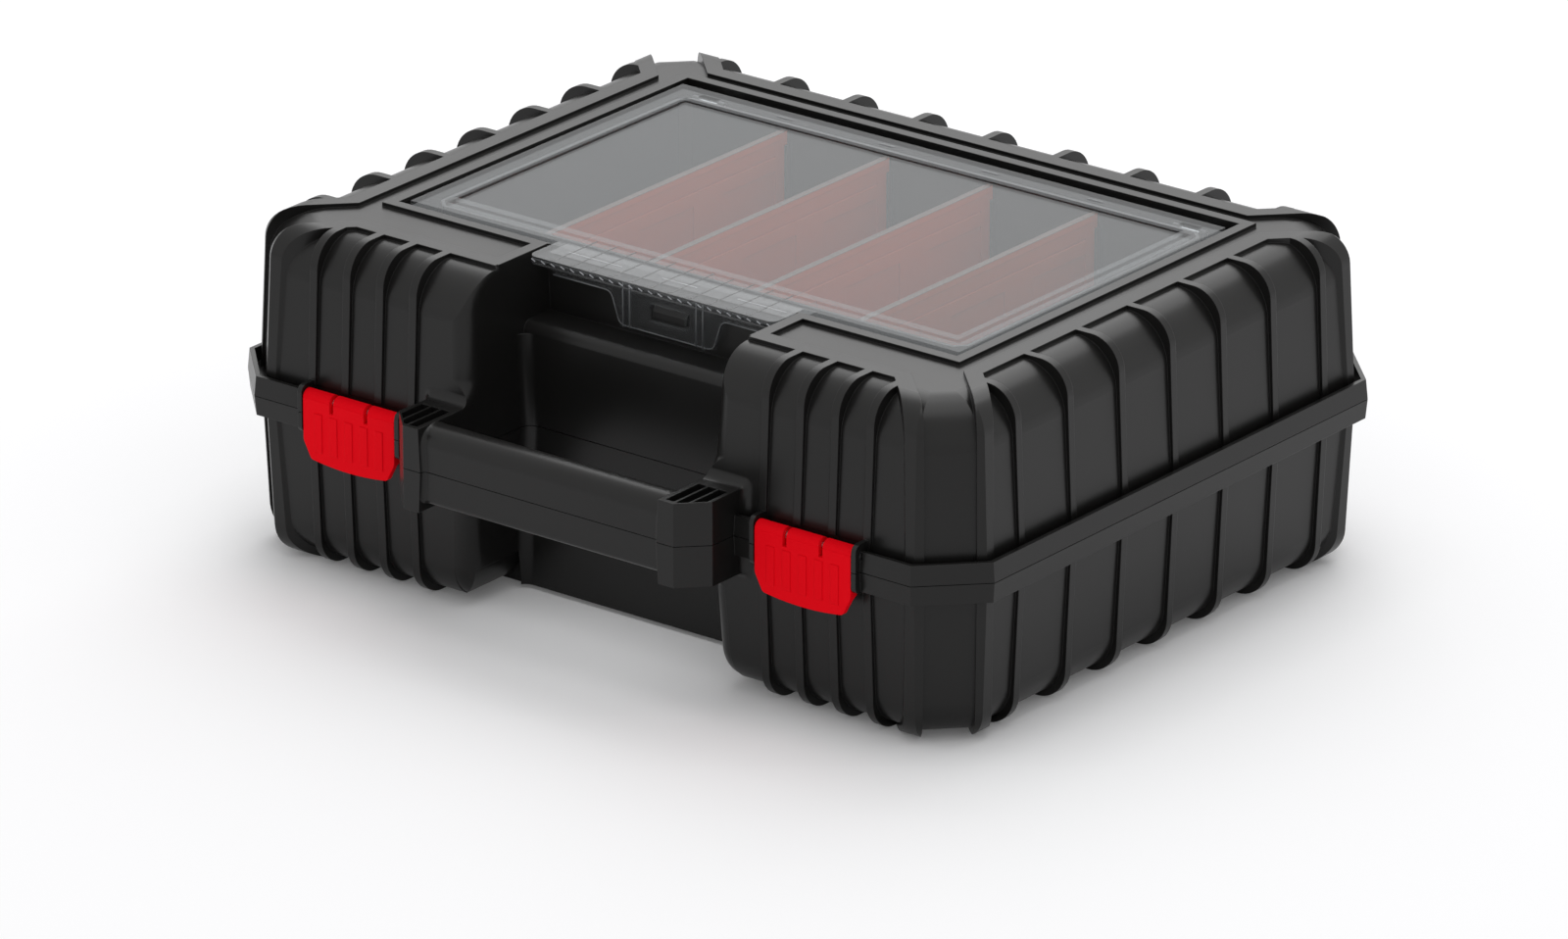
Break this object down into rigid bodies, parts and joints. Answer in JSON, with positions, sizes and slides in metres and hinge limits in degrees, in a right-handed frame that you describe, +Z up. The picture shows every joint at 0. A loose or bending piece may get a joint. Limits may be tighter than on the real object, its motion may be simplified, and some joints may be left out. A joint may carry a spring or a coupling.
{
  "type": "saw blade storage case",
  "caption": "Hard carrying case with a hinged ribbed lid, front grip between two latches, and an organizer with dividers under a hinged clear cover in its top.",
  "frame": {"origin": "on the ground under the middle of the case's box", "axes": "+X to the right as seen from the grip, +Y from the grip to the rear hinges, +Z up"},
  "size_m": [0.384, 0.335, 0.144],
  "materials": {
    "black_shell": "fine grained",
    "black_tub": "smooth",
    "clear_lid": "clear polycarbonate",
    "red_latch": "satin",
    "red_divider": "satin",
    "steel": "drawn"
  },
  "bodies": {
    "lower_case": {"lower_shell": "black_shell", "hinge_pin_left": "steel", "hinge_pin_right": "steel"},
    "upper_case": {"upper_shell": "black_shell", "organizer_tub": "black_tub", "divider_1": "red_divider", "divider_2": "red_divider", "divider_3": "red_divider", "divider_4": "red_divider", "latch_pin_left": "steel", "latch_pin_right": "steel", "lid_pin_left": "steel", "lid_pin_right": "steel", "tub_screw_1": "steel", "tub_screw_2": "steel", "tub_screw_3": "steel", "tub_screw_4": "steel"},
    "clear_lid": {"clear_lid": "clear_lid"},
    "latch_left": {"latch_left": "red_latch"},
    "latch_right": {"latch_right": "red_latch"}
  },
  "joints": [
    {"name": "case_hinge", "type": "hinge", "parent": "lower_case", "child": "upper_case", "pos_m": [0, 0.163, 0.072], "axis": [-1, 0, 0], "range_deg": [0, 105]},
    {"name": "clear_lid_hinge", "type": "hinge", "parent": "upper_case", "child": "clear_lid", "pos_m": [0, 0.1015, 0.1388], "axis": [-1, 0, 0], "range_deg": [0, 110]},
    {"name": "latch_left_hinge", "type": "hinge", "parent": "upper_case", "child": "latch_left", "pos_m": [-0.1166, -0.1419, 0.0786], "axis": [-1, 0, 0], "range_deg": [0, 110]},
    {"name": "latch_right_hinge", "type": "hinge", "parent": "upper_case", "child": "latch_right", "pos_m": [0.1166, -0.1419, 0.0786], "axis": [-1, 0, 0], "range_deg": [0, 110]}
  ]
}
